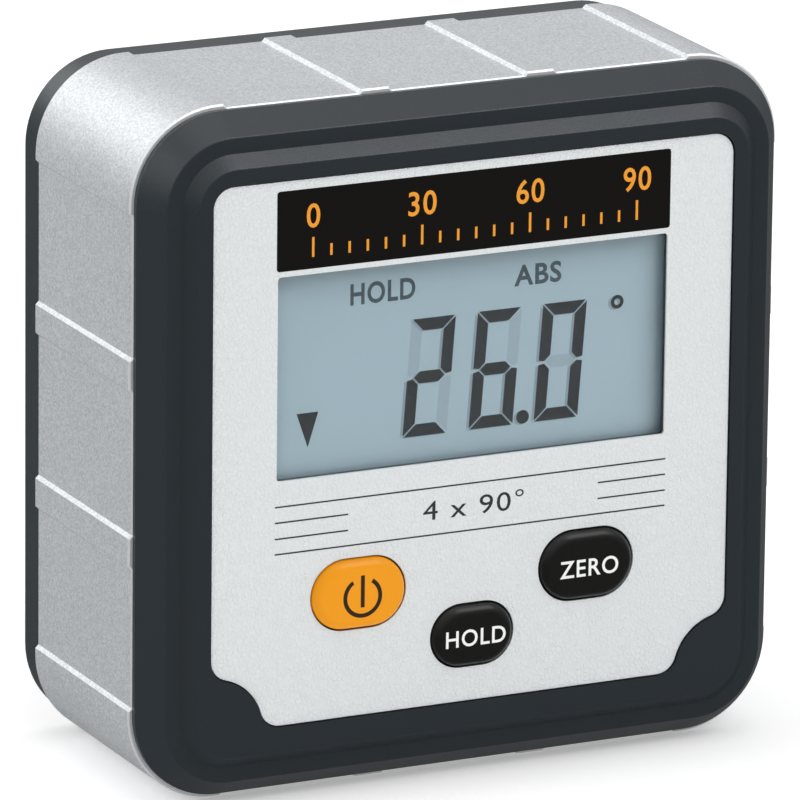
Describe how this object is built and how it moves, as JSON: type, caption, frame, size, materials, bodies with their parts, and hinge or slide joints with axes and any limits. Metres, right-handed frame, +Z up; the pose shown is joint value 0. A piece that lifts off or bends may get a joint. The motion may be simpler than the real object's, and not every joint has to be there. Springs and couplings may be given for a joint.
{
  "type": "digital spirit level",
  "caption": "Square metal gauge box with a display and keys that reads its own tilt, with a magnetic base and a hinged battery door.",
  "frame": {"origin": "on the surface the box stands on, under the middle of its whole width and depth", "axes": "+X to the right seen from the front, +Y from the display towards the back, +Z up"},
  "size_m": [0.06, 0.0274, 0.06],
  "materials": {
    "frame_metal": "fine bead-blasted and anodised",
    "dark_plastic": "satin moulded, charcoal",
    "label_film": "grained film, pale silver",
    "clear_lens": "clear, polished",
    "display_glass": "grey-blue liquid crystal panel",
    "strip_rubber": "soft, layered",
    "board_green": "solder resist",
    "chip_black": "moulded",
    "component_body": "plated",
    "screw_steel": "zinc plated",
    "switch_body": "moulded",
    "orange_key": "satin gloss",
    "black_key": "satin gloss",
    "cell_wrap": "printed wrap, plain",
    "contact_plate": "nickel plated",
    "magnet_plate": "nickel plated"
  },
  "bodies": {
    "housing": {"frame": "frame_metal", "front_bezel": "dark_plastic", "face_label": "label_film", "display_lens": "clear_lens", "lcd_panel": "display_glass", "lcd_holder": "dark_plastic", "zebra_strips": "strip_rubber", "main_board": "board_green", "controller_chip": "chip_black", "tilt_sensor": "chip_black", "board_components": "component_body", "board_screws": "screw_steel", "key_switches": "switch_body", "back_cover": "dark_plastic", "case_screws": "screw_steel", "upper_cell": "cell_wrap", "lower_cell": "cell_wrap", "bridge_contact": "contact_plate", "terminal_contacts": "contact_plate", "contact_springs": "contact_plate", "base_magnets": "magnet_plate", "magnet_keeper": "screw_steel"},
    "power_button": {"power_key": "orange_key", "power_plunger": "switch_body"},
    "hold_button": {"hold_key": "black_key", "hold_plunger": "switch_body"},
    "zero_button": {"zero_key": "black_key", "zero_plunger": "switch_body"},
    "door": {"battery_door": "dark_plastic"}
  },
  "joints": [
    {"name": "power_press", "type": "slide", "parent": "housing", "child": "power_button", "axis": [0, 1, 0], "range_m": [0, 0.0004], "stiffness_N_per_m": 1500},
    {"name": "hold_press", "type": "slide", "parent": "housing", "child": "hold_button", "axis": [0, 1, 0], "range_m": [0, 0.0004], "stiffness_N_per_m": 1500},
    {"name": "zero_press", "type": "slide", "parent": "housing", "child": "zero_button", "axis": [0, 1, 0], "range_m": [0, 0.0004], "stiffness_N_per_m": 1500},
    {"name": "battery_door_swing", "type": "hinge", "parent": "housing", "child": "door", "pos_m": [-0.0257, 0.0129, 0.03], "axis": [0, 0, 1], "range_deg": [0, 90]}
  ]
}
